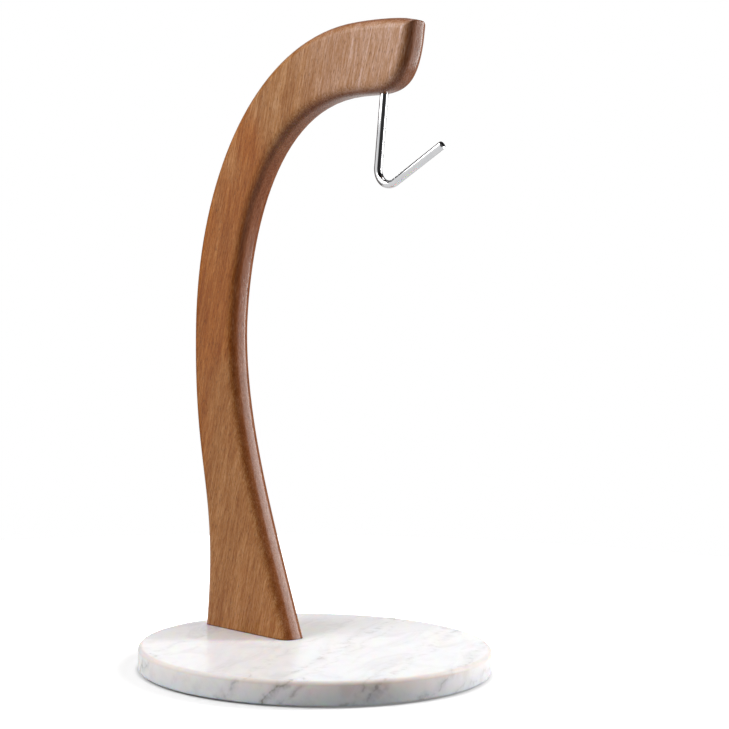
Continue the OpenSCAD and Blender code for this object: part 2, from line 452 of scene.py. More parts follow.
# %% [markdown]
# A cut rod is never left sharp, least of all where hands pass. Both ends get a
# small chamfer, with the edges picked by how near they are to the middle of an
# end.

# %% Break the ends of the rod
ROD_CHAMFER = 0.5 * MM
rod_ends = [hook_root + shank_up * ROD_GRIP, corner + leg_way * LEG_LENGTH]


def round_rod_end(edge):
    """True for the edges of the two end faces of the rod."""
    return any(all((v.co - end).length < 0.55 * ROD for v in edge.verts) for end in rod_ends)


pick(hook, "edges", round_rod_end)
bpy.ops.mesh.bevel(offset=ROD_CHAMFER, segments=2, affect="EDGES")
bpy.ops.mesh.select_all(action="SELECT")
bpy.ops.mesh.remove_doubles(threshold=SAME_PLACE)
done(hook)
smooth(hook, 30)
settle(hook, "chrome_hook")

# %% [markdown]
# ## The marble disc
# Marble is sawn, turned and polished. A cylinder is the blank. Both edges are
# bevelled into rounds, the upper one softer, because it is the one that is
# touched. An inset next to each round keeps the flat faces flat in reflections.

# %% Turn the disc
TOP_ROUND = 2.2 * MM
BOTTOM_ROUND = 0.9 * MM
FLAT_RIM = 0.6 * MM
disc_radius = disc_high.x


def lies_at(height):
    """A test for edges and faces that lie flat at that height."""
    return lambda part: all(abs(v.co.z - height) < SAME_PLACE for v in part.verts)


bpy.ops.mesh.primitive_cylinder_add(
    vertices=256, radius=disc_radius, depth=disc_high.z - disc_low.z,
    location=(0, 0, (disc_low.z + disc_high.z) / 2),
)
disc = bpy.context.object
fix_place(disc)
edit(disc)
for level, radius in ((disc_high.z, TOP_ROUND), (disc_low.z, BOTTOM_ROUND)):
    pick(disc, "edges", lies_at(level))
    bpy.ops.mesh.bevel(offset=radius, segments=8, affect="EDGES")
pick(disc, "faces", lambda face: len(face.verts) > 4)
bpy.ops.mesh.inset(thickness=FLAT_RIM, depth=0, use_individual=True)
done(disc)
print("disc is", round(disc.dimensions.z / MM, 2), "mm thick")

# %% [markdown]
# Two stepped holes from below take the screws: a wide well that swallows the
# head and its washer, so that nothing scratches the table, and a narrow hole
# through the rest of the stone for the shank.

# %% Bore the wells
WELL = 14 * MM
WELL_DEPTH = 5 * MM
SCREW_HOLE = 5.5 * MM

for place in screw_places.values():
    below = Vector((place.x, 0, disc_low.z - MM))
    cut_round(disc, WELL, below, Vector((place.x, 0, disc_low.z + WELL_DEPTH)))
    cut_round(disc, SCREW_HOLE, below, Vector((place.x, 0, disc_high.z + MM)))
smooth(disc, 30)
settle(disc, "marble_disc")

# %% [markdown]
# ## Screws and washers
# They hide in the wells under the disc. A wood screw is a core with a helical
# ridge. The Screw modifier turns the profile of one pitch into it, and it is cut
# off at the head and where the point would begin. The point is left out, for it
# is deep in the wood. The thread could be painted on with a bump, but a screw
# seen up close is known by the shadow of its ridge.

# %% Turn the thread
PITCH = 1.8 * MM
CORE = 3.3 * MM
SCREW_LENGTH = 40 * MM
POINT_LENGTH = SCREW
TURNS = 24
# Distance from the axis, and share of the pitch
THREAD_PROFILE = [
    (CORE / 2, 0), (CORE / 2, 0.55), (SCREW / 2, 0.75), (SCREW / 2, 0.8), (CORE / 2, 1),
]


def make_thread():
    """The threaded shank, standing on the origin, without its point."""
    points = [(radius, 0, share * PITCH) for radius, share in THREAD_PROFILE]
    profile = bpy.data.meshes.new("thread_profile")
    profile.from_pydata(points, [(i, i + 1) for i in range(len(points) - 1)], [])
    shank = bpy.data.objects.new("thread", profile)
    bpy.context.scene.collection.objects.link(shank)
    modify(
        shank, "SCREW", axis="Z", angle=math.tau, steps=24, render_steps=24,
        screw_offset=PITCH, iterations=TURNS, use_merge_vertices=True,
        merge_threshold=SAME_PLACE,
    )
    edit(shank)
    bpy.ops.mesh.select_all(action="SELECT")
    bpy.ops.mesh.remove_doubles(threshold=SAME_PLACE)
    end = PITCH + SCREW_LENGTH - POINT_LENGTH
    for level, up in ((PITCH, 1), (end, -1)):
        bpy.ops.mesh.select_all(action="SELECT")
        bpy.ops.mesh.bisect(
            plane_co=(0, 0, level), plane_no=(0, 0, up), clear_inner=True, use_fill=True,
        )
    bpy.ops.mesh.select_all(action="SELECT")
    bpy.ops.transform.translate(value=(0, 0, -PITCH))
    done(shank)
    return shank


shank = make_thread()
print("thread has", len(shank.data.polygons), "faces")

# %% [markdown]
# The pan head is a short cylinder. Its outer edge is bevelled into the pan's
# dome, and the edge at its seat is only broken. Two crossed slots, cut one after
# the other, make the recess for the driver.

# %% Shape the head
HEAD = 8.6 * MM
HEAD_HEIGHT = 2.8 * MM
HEAD_DOME = 1.1 * MM
SEAT_BREAK = 0.15 * MM
SLOT_SIZE = (4.7 * MM, 1.2 * MM, 3.2 * MM)


def make_head():
    """The pan head, hanging under the origin, with its crossed recess."""
    bpy.ops.mesh.primitive_cylinder_add(
        vertices=64, radius=HEAD / 2, depth=HEAD_HEIGHT, location=(0, 0, -HEAD_HEIGHT / 2),
    )
    head = bpy.context.object
    fix_place(head)
    edit(head)
    pick(head, "edges", lies_at(-HEAD_HEIGHT))
    bpy.ops.mesh.bevel(offset=HEAD_DOME, segments=6, affect="EDGES")
    pick(head, "edges", lies_at(0))
    bpy.ops.mesh.bevel(offset=SEAT_BREAK, segments=2, affect="EDGES")
    done(head)
    for turn in (0, math.pi / 2):
        bpy.ops.mesh.primitive_cube_add(
            size=1, location=(0, 0, -HEAD_HEIGHT), rotation=(0, 0, turn),
        )
        slot = bpy.context.object
        slot.scale = SLOT_SIZE
        fix_place(slot)
        modify(head, "BOOLEAN", operation="DIFFERENCE", object=slot, solver="EXACT")
        bpy.data.objects.remove(slot)
    return head


head = make_head()
print("head has", len(head.data.polygons), "faces")

# %% [markdown]
# A Boolean union joins shank and head. The second screw is a copy with its own
# mesh, because the place of each goes into its mesh.

# %% Join the screw and copy it


def copy_of(piece):
    """A copy of a piece, with its own mesh."""
    twin = piece.copy()
    twin.data = piece.data.copy()
    bpy.context.scene.collection.objects.link(twin)
    return twin


modify(head, "BOOLEAN", operation="UNION", object=shank, solver="EXACT")
bpy.data.objects.remove(shank)
smooth(head, 35)
screws = {"rear": head, "front": copy_of(head)}
WASHER_THICK = 1 * MM
seat_height = disc_low.z + WELL_DEPTH - WASHER_THICK
for end, screw in screws.items():
    screw.location = (screw_places[end].x, 0, seat_height)
    settle(screw, end + "_screw")

# %% [markdown]
# The washers are punched from sheet. The edge of the hole is drawn as a circle,
# extruded outwards into a flat ring, and the ring is extruded upwards. A fine
# bevel breaks its corners, as tumbling does.

# %% Punch the washers
WASHER = 12 * MM
WASHER_BREAK = 0.12 * MM


def make_washer(place, name):
    """One punched ring, with its lower face at that height."""
    bpy.ops.mesh.primitive_circle_add(vertices=64, radius=SCREW_HOLE / 2, location=place)
    ring = bpy.context.object
    fix_place(ring)
    edit(ring)
    bpy.ops.mesh.select_all(action="SELECT")
    bpy.ops.mesh.extrude_edges_move()
    grow = WASHER / SCREW_HOLE
    bpy.ops.transform.resize(value=(grow, grow, 1), center_override=place)
    bpy.ops.mesh.select_all(action="SELECT")
    bpy.ops.mesh.extrude_region_move(TRANSFORM_OT_translate={"value": (0, 0, WASHER_THICK)})
    bpy.ops.mesh.select_all(action="SELECT")
    bpy.ops.mesh.normals_make_consistent(inside=False)
    pick(ring, "edges", lambda edge: edge.calc_face_angle(0) > math.radians(60))
    bpy.ops.mesh.bevel(offset=WASHER_BREAK, segments=2, affect="EDGES")
    done(ring)
    smooth(ring, 40)
    return settle(ring, name)


washers = {
    end: make_washer(Vector((place.x, 0, seat_height)), end + "_washer")
    for end, place in screw_places.items()
}

# %% [markdown]
# ## Foot pads
# Four dark foam pads keep the stone off the table, and show only as a thin dark
# line under the disc. Each is a stamped disc, a little rounded where it is
# pressed. They are alike, so one function makes each from its solid's box.

# %% Stamp the pads
PAD_ROUND = 0.3 * MM
PAD_RIM = 0.4 * MM


def make_pad(name, node_name):
    """One stuck-on pad, in the place of its solid."""
    low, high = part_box(node_name)
    bpy.ops.mesh.primitive_cylinder_add(
        vertices=64, radius=(high.x - low.x) / 2, depth=high.z - low.z,
        location=(low + high) / 2,
    )
    pad = bpy.context.object
    fix_place(pad)
    edit(pad)
    pick(pad, "edges", lies_at(low.z))
    bpy.ops.mesh.bevel(offset=PAD_ROUND, segments=4, affect="EDGES")
    pick(pad, "faces", lambda face: len(face.verts) > 4)
    bpy.ops.mesh.inset(thickness=PAD_RIM, depth=0, use_individual=True)
    done(pad)
    smooth(pad, 40)
    return settle(pad, name)


pads = [make_pad("pad_%d" % number, "foot_pad_%d" % number) for number in (1, 2, 3, 4)]

# %% [markdown]
# ## Materials
# Each finish is a small network of nodes. It could be wired up by hand, but in
# code it can be read from top to bottom. A helper adds one node and fills its
# inputs, with a number or with another node's output. Patterns read Object
# coordinates, which are metres from the origin, so a Mapping node of type
# Texture can be given the size of one cell of the pattern, in millimetres.

# %% Add nodes and patterns


def fill(made, inputs):
    """Sets the inputs of a node to values, or links them to outputs of other nodes."""
    for name, value in inputs.items():
        if isinstance(value, bpy.types.NodeSocket):
            made.id_data.links.new(value, made.inputs[name])
        else:
            made.inputs[name].default_value = value


def node(tree, kind, inputs, **settings):
    """Adds a node to a node tree, with its settings and its inputs."""
    made = tree.nodes.new(kind)
    for name, value in settings.items():
        setattr(made, name, value)
    fill(made, inputs)
    return made


def object_place(tree):
    """Where a point of the surface is, in metres from the origin."""
    return node(tree, "ShaderNodeTexCoord", {}).outputs["Object"]


def pattern(tree, cell, turn=(0, 0, 0), shift=(0, 0, 0)):
    """Object coordinates, turned and counted in cells of the given size."""
    inputs = {
        "Vector": object_place(tree),
        "Rotation": [math.radians(angle) for angle in turn],
        "Scale": [side * MM for side in cell],
        "Location": shift,
    }
    return node(tree, "ShaderNodeMapping", inputs, vector_type="TEXTURE").outputs["Vector"]


def noise(tree, vector, detail, roughness, swirl=0.0):
    """The value of a cloudy noise, from 0 to 1, with cells of one unit."""
    inputs = {
        "Vector": vector, "Scale": 1.0, "Detail": detail, "Roughness": roughness,
        "Distortion": swirl,
    }
    return node(tree, "ShaderNodeTexNoise", inputs).outputs["Fac"]


# %% [markdown]
# The next helpers do what a painter does: stretch one range of a pattern over
# another, mix two colours, set one value against another, and carve a relief. A
# colour is written as a picture shows it, from 0 to 255, and turned into the
# linear light that a renderer counts with.

# %% Mix values and colours


def ramp(tree, value, low, high, to_low=0.0, to_high=1.0):
    """Stretches a value smoothly from one range to another."""
    inputs = {
        "Value": value, "From Min": low, "From Max": high, "To Min": to_low, "To Max": to_high,
    }
    made = node(tree, "ShaderNodeMapRange", inputs, interpolation_type="SMOOTHSTEP")
    return made.outputs["Result"]


def blend(tree, share, first, second, way="MIX"):
    """Mixes two colours."""
    inputs = {0: share, 6: first, 7: second}
    return node(tree, "ShaderNodeMix", inputs, data_type="RGBA", blend_type=way).outputs[2]


def calc(tree, way, first, second=0):
    """One sum on two values."""
    return node(tree, "ShaderNodeMath", {0: first, 1: second}, operation=way).outputs[0]


def vector_calc(tree, way, first, second=(0, 0, 0)):
    """One sum on two vectors, which gives a vector or, for some sums, a number."""
    made = node(tree, "ShaderNodeVectorMath", {0: first, 1: second}, operation=way)
    return made.outputs["Value" if way in ("DOT_PRODUCT", "LENGTH") else "Vector"]


def axis_part(tree, vector, axis):
    """The X, Y or Z of a vector."""
    return node(tree, "ShaderNodeSeparateXYZ", {0: vector}).outputs[axis]


def relief(tree, height, strength, depth):
    """The surface's normal, tilted as if height were carved into it."""
    inputs = {"Height": height, "Strength": strength, "Distance": depth}
    return node(tree, "ShaderNodeBump", inputs).outputs["Normal"]


def colour(red, green, blue):
    """A colour written as the 0 to 255 values that a picture shows."""
    linear = []
    for part in (red, green, blue):
        share = part / 255
        linear.append(share / 12.92 if share < 0.04 else ((share + 0.055) / 1.055) ** 2.4)
    return (*linear, 1)


print("middle grey is", round(colour(128, 128, 128)[0], 3), "in linear light")

# %% [markdown]
# Every material starts from one Principled shader. Dressing a piece gives it its material, hangs
# it on the frame's root and hides the solid that it replaces.

# %% Start a material and dress a piece


def new_material(name):
    """A material with one Principled shader. Returns the material, its tree and shader."""
    made = bpy.data.materials.new(name)
    made.use_nodes = True
    return made, made.node_tree, made.node_tree.nodes["Principled BSDF"]


def dress(piece, material, body_node):
    """Gives a piece its material, hangs it on the root and hides the solid that it replaces."""
    piece.data.materials.clear()
    piece.data.materials.append(material)
    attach(piece, "root")
    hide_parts(body_node)
    print(piece.name, "wears", material.name, "of", len(material.node_tree.nodes), "nodes")


# %% [markdown]
# ## Wood
# The board is a reddish brown hardwood, oiled to a satin gloss. Its grain runs
# straight and leans 13 degrees from upright, as if from the heel to the tip. A
# picture of wood would end at the edges. Noise that fills space is cut by the
# arm's surface as a saw cuts a plank, so that sides and edges agree. Six layers
# of it are stretched along the grain by different amounts: broad bands of
# growth, slow streaks, long lines, fine fibres, a mottle across them, and pores.

# %% Lay out the grain
GRAIN_LEAN = (0, 13, 0)
# Size of a cell in mm, where the layer starts, detail, roughness and swirl
GRAIN_LAYERS = {
    "bands": ((10, 26, 150), (0, 0, 0), 3, 0.55, 0.6),
    "streaks": ((3.6, 3.6, 40), (3, 1, 7), 4, 0.6, 0.4),
    "lines": ((1.2, 1.2, 22), (2, 5, 1), 2, 0.6, 0.0),
    "fibres": ((0.55, 0.55, 8), (0, 0, 0), 2, 0.7, 0.0),
    "mottle": ((1.3, 1.3, 1.9), (4, 1, 3), 3, 0.7, 0.0),
    "pores": ((0.7, 0.7, 3.2), (0.5, 2, 1), 2, 0.6, 0.0),
}


def lay_grain(tree):
    """The layers of the grain by name, each a value from 0 to 1."""
    return {
        name: noise(tree, pattern(tree, cell, GRAIN_LEAN, start), detail, roughness, swirl)
        for name, (cell, start, detail, roughness, swirl) in GRAIN_LAYERS.items()
    }


print("grain has", len(GRAIN_LAYERS), "layers")

# %% [markdown]
# The board's own colour drifts, as any plank's does: honey brown at the foot and redder at the
# waist. Towards the crown it turns paler and rosier, partly the board's own tone and partly
# painted sheen. Near the tip a pale, greyer tone is painted sheen where the highlight lies. Slow
# clouds keep each change from running straight across the board. The rounded edges get a darker,
# redder tone, which is painted shade for the dark band along them, and the surface's normal
# tells those edges from the flat sides.

# %% Choose the wood's tones
FOOT_TONES = colour(159, 103, 54), colour(172, 116, 66)
WAIST_TONES = colour(153, 88, 35), colour(167, 100, 43)
# The crown's tones are partly painted sheen
CROWN_TONES_WITH_SHEEN = colour(158, 106, 61), colour(176, 124, 77)
# Painted sheen near the tip
TIP_SHEEN_TONE = colour(190, 147, 118)
# Painted shade for the rounded edges
EDGE_SHADE_TONE = colour(130, 73, 42)
SHEEN_AND_SHADE_SHARE = 0.8
# Where one tone gives way to the next, in metres
FOOT_TO_WAIST = (0.1, 0.2)
WAIST_TO_CROWN = (0.26, 0.36)
TIP_SHEEN_FORWARD = (-0.03, 0.04)
TIP_SHEEN_HEIGHT = (0.3, 0.335)
CLOUD_DRIFT = 0.05


def board_colour(tree, grain):
    """The wood's colour from foot to tip, with painted sheen near the tip and painted shade on
    the rounded edges, before its grain is drawn.
    """
    coords = node(tree, "ShaderNodeTexCoord", {}).outputs
    height, forward = (axis_part(tree, coords["Object"], axis) for axis in "ZX")
    clouds = noise(tree, pattern(tree, (45, 45, 90), shift=(0.2, 0.4, 0.1)), 2, 0.5)
    rise = calc(tree, "ADD", height, ramp(tree, clouds, 0.3, 0.7, -CLOUD_DRIFT, CLOUD_DRIFT))
    growth = ramp(tree, grain["bands"], 0.3, 0.7)
    low_tone = blend(tree, growth, *FOOT_TONES)
    middle_tone = blend(tree, growth, *WAIST_TONES)
    crown_tone_with_sheen = blend(tree, growth, *CROWN_TONES_WITH_SHEEN)
    body = blend(tree, ramp(tree, rise, *FOOT_TO_WAIST), low_tone, middle_tone)
    body = blend(tree, ramp(tree, rise, *WAIST_TO_CROWN), body, crown_tone_with_sheen)
    # Near the tip the colour turns to painted sheen
    near_tip = calc(
        tree, "MULTIPLY", ramp(tree, forward, *TIP_SHEEN_FORWARD), ramp(tree, height, *TIP_SHEEN_HEIGHT),
    )
    body = blend(tree, calc(tree, "MULTIPLY", near_tip, SHEEN_AND_SHADE_SHARE), body, TIP_SHEEN_TONE)
    # The rounded edges get painted shade, a darker and redder tone
    facing = calc(tree, "ABSOLUTE", axis_part(tree, coords["Normal"], "Y"))
    edge = ramp(tree, facing, 0.5, 0.98, 1.0, 0.0)
    return blend(tree, calc(tree, "MULTIPLY", edge, SHEEN_AND_SHADE_SHARE), body, EDGE_SHADE_TONE)


print("edge tone in linear light:", [round(part, 3) for part in EDGE_SHADE_TONE[:3]])

# %% [markdown]
# The grain is light and shade on that colour. Four layers are multiplied into
# one factor, and because dark wood is also redder wood, the factor is raised to
# a higher power for green and a higher one still for blue. The pores are short
# dark dashes laid over it.

# %% Draw the grain
# How dark and how light each layer makes the wood
LAYER_SHADES = {
    "fibres": (0.82, 1.15), "streaks": (0.88, 1.12), "lines": (0.92, 1.08),
    "mottle": (0.92, 1.08),
}
GREEN_POWER = 1.7
BLUE_POWER = 3.0
PORE_TONE = colour(90, 47, 20)
PORE_STRENGTH = 0.6


def draw_grain(tree, grain, body):
    """The board's colour with its grain, and how much of each point is pore."""
    lit = None
    for name, (dark, light) in LAYER_SHADES.items():
        factor = ramp(tree, grain[name], 0.3, 0.7, dark, light)
        lit = factor if lit is None else calc(tree, "MULTIPLY", lit, factor)
    green = calc(tree, "POWER", lit, GREEN_POWER)
    blue = calc(tree, "POWER", lit, BLUE_POWER)
    shade = node(tree, "ShaderNodeCombineColor", {0: lit, 1: green, 2: blue}).outputs[0]
    grained = blend(tree, 1.0, body, shade, "MULTIPLY")
    pore_share = ramp(tree, grain["pores"], 0.56, 0.72, 0.0, PORE_STRENGTH)
    return blend(tree, pore_share, grained, PORE_TONE), pore_share


# %% [markdown]
# Last comes the finish. A narrow painted shadow darkens the wood where the arm meets the marble.
# The oil fills the wood unevenly, so fibres differ in roughness, and a bump of a few hundredths
# of a millimetre lets the pores catch the light. The gloss level is the same all over, so it is
# set on the shader itself.

# %% Oil the wood
# Painted shadow where the arm stands on the marble
JOINT_SHADOW_TONE = colour(70, 40, 20)
JOINT_SHADOW_STRENGTH = 0.75
JOINT_SHADOW_HEIGHTS = (disc_high.z + 0.1 * MM, disc_high.z + 0.9 * MM)
WOOD_GLOSS = 0.26


def make_wood():
    """The hardwood of the arm."""
    wood, tree, shader = new_material("satin_hardwood")
    grain = lay_grain(tree)
    tone, pore_share = draw_grain(tree, grain, board_colour(tree, grain))
    height = axis_part(tree, object_place(tree), "Z")
    # Painted shadow in the joint at the foot of the arm
    joint_shadow = ramp(tree, height, *JOINT_SHADOW_HEIGHTS, JOINT_SHADOW_STRENGTH, 0.0)
    rise = calc(tree, "SUBTRACT", grain["fibres"], calc(tree, "MULTIPLY", pore_share, 1.5))
    fill(shader, {
        "Base Color": blend(tree, joint_shadow, tone, JOINT_SHADOW_TONE),
        "Roughness": ramp(tree, grain["fibres"], 0.25, 0.75, 0.22, 0.31),
        "IOR": 1.5,
        "Specular IOR Level": WOOD_GLOSS,
        "Normal": relief(tree, rise, 0.12, 0.15 * MM),
    })
    return wood


dress(arm, make_wood(), "wooden_arm")

# %% [markdown]
# ## Marble
# White marble is clear grains of calcite with grey veins that were once cracks.
# The veins lie in slanted sheets through the whole stone, so the pattern fills
# space, and the top and the wall show the same sheets, cut two ways. A sheet is
# where the distance along one direction has a set value. Noise makes it waver,
# and blotches break it up. Each vein is a thin dark core in a soft grey halo.

# %% Run the veins through the stone
SHEET_NORMAL = Vector((0.650, 0.328, -0.686))
WAVER = 4.0
# Place along the sheets' normal and half width, in mm, and darkness
VEINS = [
    (-63, 4.5, 0.45), (-13.5, 3.6, 0.45), (3, 4.0, 0.75), (9, 2.8, 0.4),
    (32.5, 3.6, 0.4), (38, 4.2, 0.6), (57.5, 4.6, 0.4), (67.5, 3.4, 0.25),
]
HALO_SHARE = 0.6
CORE_EDGES = (0.2, 1.3)


def vein_grey(tree, place):
    """How grey the veins make the stone, from 0 to 1."""
    depth = vector_calc(tree, "DOT_PRODUCT", place, SHEET_NORMAL / MM)
    sway = noise(tree, pattern(tree, (20, 20, 20)), 4, 0.6)
    waver = calc(tree, "ADD", depth, ramp(tree, sway, 0.2, 0.8, -WAVER, WAVER))
    grey = None
    for spot, half, darkness in VEINS:
        off = calc(tree, "ABSOLUTE", calc(tree, "SUBTRACT", waver, spot))
        halo = ramp(tree, off, 0.0, half, darkness * HALO_SHARE, 0.0)
        vein = calc(tree, "MAXIMUM", halo, ramp(tree, off, *CORE_EDGES, darkness, 0.0))
        grey = vein if grey is None else calc(tree, "MAXIMUM", grey, vein)
    blotches = noise(tree, pattern(tree, (6, 6, 6), shift=(3, 3, 3)), 2, 0.5)
    return calc(tree, "MULTIPLY", grey, ramp(tree, blotches, 0.35, 0.6, 0.15, 1.0))


print("stone has", len(VEINS), "veins")

# %% [markdown]
# The top of the disc is almost white, and the wall shows the veins in full. So the veins are
# held back away from the wall, where faint streaks take over, and a soft haze is kept for the
# wall: the paler top is partly the stone's own look and partly painted light, for the sheen that
# washes over the polish. The rounded rim is painted a touch warmer, a painted glow for the light
# that the stone behind it passes.

# %% Mix the stone's colour
STONE_WHITE = colour(249, 248, 251)
STONE_GREY = colour(132, 128, 121)
# Painted glow for light that passes through the rim
RIM_GLOW_TONE = colour(229, 217, 209)
RIM_GLOW_SHARE = 0.55
VEINS_ON_LIT_TOP = 0.35
WALL_ZONE = (disc_radius - 12 * MM, disc_radius - 2 * MM)
RIM_ZONE = (disc_radius - 3 * MM, disc_radius - 1.5 * MM)
RIM_HEIGHTS = (disc_high.z - 3 * MM, disc_high.z - 1.5 * MM)


def stone_colour(tree, place):
    """The stone's colour, with veins, streaks, haze and the painted warm glow of its rim."""
    radius = vector_calc(tree, "LENGTH", vector_calc(tree, "MULTIPLY", place, (1, 1, 0)))
    # The top is kept paler than the wall, partly as painted light on the polish
    near_wall = ramp(tree, radius, *WALL_ZONE, VEINS_ON_LIT_TOP, 1.0)
    veins = calc(tree, "MULTIPLY", vein_grey(tree, place), near_wall)
    across = noise(tree, pattern(tree, (14, 60, 60), (0, -46, 27), (1, 1, 1)), 5, 0.62, 1.0)
    off_wall = calc(tree, "SUBTRACT", 1.0 + VEINS_ON_LIT_TOP, near_wall)
    streaks = calc(tree, "MULTIPLY", ramp(tree, across, 0.45, 0.75, 0.0, 0.2), off_wall)
    cloudy = noise(tree, pattern(tree, (13, 13, 13), shift=(5, 2, 4)), 4, 0.6)
    haze = calc(tree, "MULTIPLY", ramp(tree, cloudy, 0.45, 0.7, 0.0, 0.15), near_wall)
    grey = calc(tree, "ADD", calc(tree, "MAXIMUM", veins, haze), streaks)
    stone = blend(tree, calc(tree, "MINIMUM", grey, 0.9), STONE_WHITE, STONE_GREY)
    # Painted glow: the rim is tinted warm for the light the stone passes
    at_rim = ramp(tree, axis_part(tree, place, "Z"), *RIM_HEIGHTS)
    rim_glow = calc(tree, "MULTIPLY", at_rim, ramp(tree, radius, *RIM_ZONE))
    return blend(tree, calc(tree, "MULTIPLY", rim_glow, RIM_GLOW_SHARE), stone, RIM_GLOW_TONE)


print("veins show at", VEINS_ON_LIT_TOP, "of their strength on the top")

# %% [markdown]
# A little light enters marble and leaves it again some millimetres on, red light
# furthest. Subsurface scattering gives that, and it is what makes stone look
# unlike white paint. The polish is a low roughness, and its mirror image is kept
# weak, because under large soft lights it would wash the veins out.

# %% Polish the marble
SCATTER_DEPTH = 6 * MM
SCATTER_SHARES = (1.0, 0.62, 0.38)
MARBLE_ROUGHNESS = 0.22
MARBLE_GLOSS = 0.06


def make_marble():
    """The polished stone of the base."""
    marble, tree, shader = new_material("polished_marble")
    fill(shader, {
        "Base Color": stone_colour(tree, object_place(tree)),
        "Roughness": MARBLE_ROUGHNESS,
        "IOR": 1.5,
        "Specular IOR Level": MARBLE_GLOSS,
        "Subsurface Weight": 0.8,
        "Subsurface Radius": SCATTER_SHARES,
        "Subsurface Scale": SCATTER_DEPTH,
    })
    return marble


dress(disc, make_marble(), "marble_base")

# %% [markdown]
# ## Chrome
# Bright chrome is a nearly perfect mirror, and what shows on it is the studio.
# So it needs little of its own: a light grey, a very low roughness, and in both
# a slight unevenness along the rod, as the polishing wheel leaves it.

# %% Plate the hook


def make_chrome():
    """Bright chrome plate."""
    chrome, tree, shader = new_material("bright_chrome")
    wipe = noise(tree, pattern(tree, (1.5, 1.5, 9)), 3, 0.5)
    share = ramp(tree, wipe, 0.3, 0.7)
    fill(shader, {
        "Metallic": 1,
        "Base Color": blend(tree, share, colour(205, 206, 208), colour(212, 212, 213)),
        "Roughness": ramp(tree, wipe, 0.3, 0.7, 0.08, 0.09),
    })
    return chrome


dress(hook, make_chrome(), "banana_hook")

# %% [markdown]
# ## Zinc
# The screws and washers are zinc plated, which is duller than chrome and faintly
# mottled. One fine noise drives all three: its colour, its roughness and a
# shallow bump.

# %% Plate the screws and washers


def make_zinc():
    """Zinc plated steel."""
    zinc, tree, shader = new_material("zinc_plate")
    mottle = noise(tree, pattern(tree, (1.1, 1.1, 1.1)), 4, 0.6)
    share = ramp(tree, mottle, 0.3, 0.7)
    fill(shader, {
        "Metallic": 1,
        "Base Color": blend(tree, share, colour(176, 177, 172), colour(205, 205, 200)),
        "Roughness": ramp(tree, mottle, 0.3, 0.7, 0.24, 0.4),
        "Normal": relief(tree, mottle, 0.15, 0.05 * MM),
    })
    return zinc


zinc = make_zinc()
for end in ("rear", "front"):
    dress(screws[end], zinc, "arm_screw_" + end)
    dress(washers[end], zinc, "washer_" + end)

# %% [markdown]
# ## Foam
# The pads are dark foam rubber with fine open cells. Voronoi cells of a third of
# a millimetre are the nearest pattern to foam: their distance value is low in
# the middle of a cell, so it both darkens the cell and sinks it.

# %% Make the foam


def make_foam():
    """Dark foam rubber with fine open cells."""
    foam, tree, shader = new_material("dark_foam")
    inputs = {"Vector": pattern(tree, (0.35, 0.35, 0.35)), "Scale": 1.0}
    cells = node(tree, "ShaderNodeTexVoronoi", inputs, feature="F1").outputs["Distance"]
    share = ramp(tree, cells, 0.2, 0.7)
    fill(shader, {
        "Base Color": blend(tree, share, colour(38, 38, 39), colour(66, 66, 67)),
        "Roughness": 0.85,
        "Normal": relief(tree, cells, 0.5, 0.12 * MM),
    })
    return foam


foam = make_foam()
for number, pad in enumerate(pads, 1):
    dress(pad, foam, "foot_pad_%d" % number)

# %% [markdown]
# ## The studio
# A product photograph is made on a white sweep, in an otherwise unlit room. In
# polished things both can be seen: the room behind the camera draws the dark
# line down the chrome and the dark band along the arm's near edge, and the sweep
# draws what is pale. Everything is set out by its bearing, in degrees to the
# right of the camera as seen from the stand, as on a studio floor.

# %% Find the way by bearing
CAMERA_BEARING = 46


def way_to(bearing, rise=0):
    """The direction that many degrees right of the camera, and up by rise."""
    turn = math.radians(CAMERA_BEARING + bearing)
    lift = math.radians(rise)
    level = math.cos(lift)
    return Vector((math.sin(turn) * level, -math.cos(turn) * level, math.sin(lift)))


print("the camera is seen towards", [round(part, 2) for part in way_to(0)])

# %% [markdown]
# The world holds what surrounds the stand: the white sweep, the dark room, a dim
# ceiling, and one black card on either side behind the stand, which
# photographers put there to give white and shiny things an outline. The camera
# itself sees pure white everywhere. A mirror sees the room at full strength, and
# diffuse surfaces get a little over half of it, so that the lamps model them.

# %% Surround the stand
ROOM_BEARING = 17
ROOM_EDGES = (0.5, 0.82)
ROOM_DARK = 0.04
CARD_MIDDLE = -0.606
CARD_EDGES = (0.35, 0.38)
CARD_DARK = 0.12
CEILING_EDGES = (0.3, 0.6)
CEILING = 0.12
SWEEP_LIGHT = 0.55


def between(tree, share, first, second):
    """A value from first to second, by share."""
    return node(tree, "ShaderNodeMix", {0: share, 2: first, 3: second}).outputs[0]


def off_mirrors(tree, path):
    """1 for rays that come off chrome, polish or glass, and 0 for all others."""
    return calc(tree, "MAXIMUM", path["Is Glossy Ray"], path["Is Transmission Ray"])


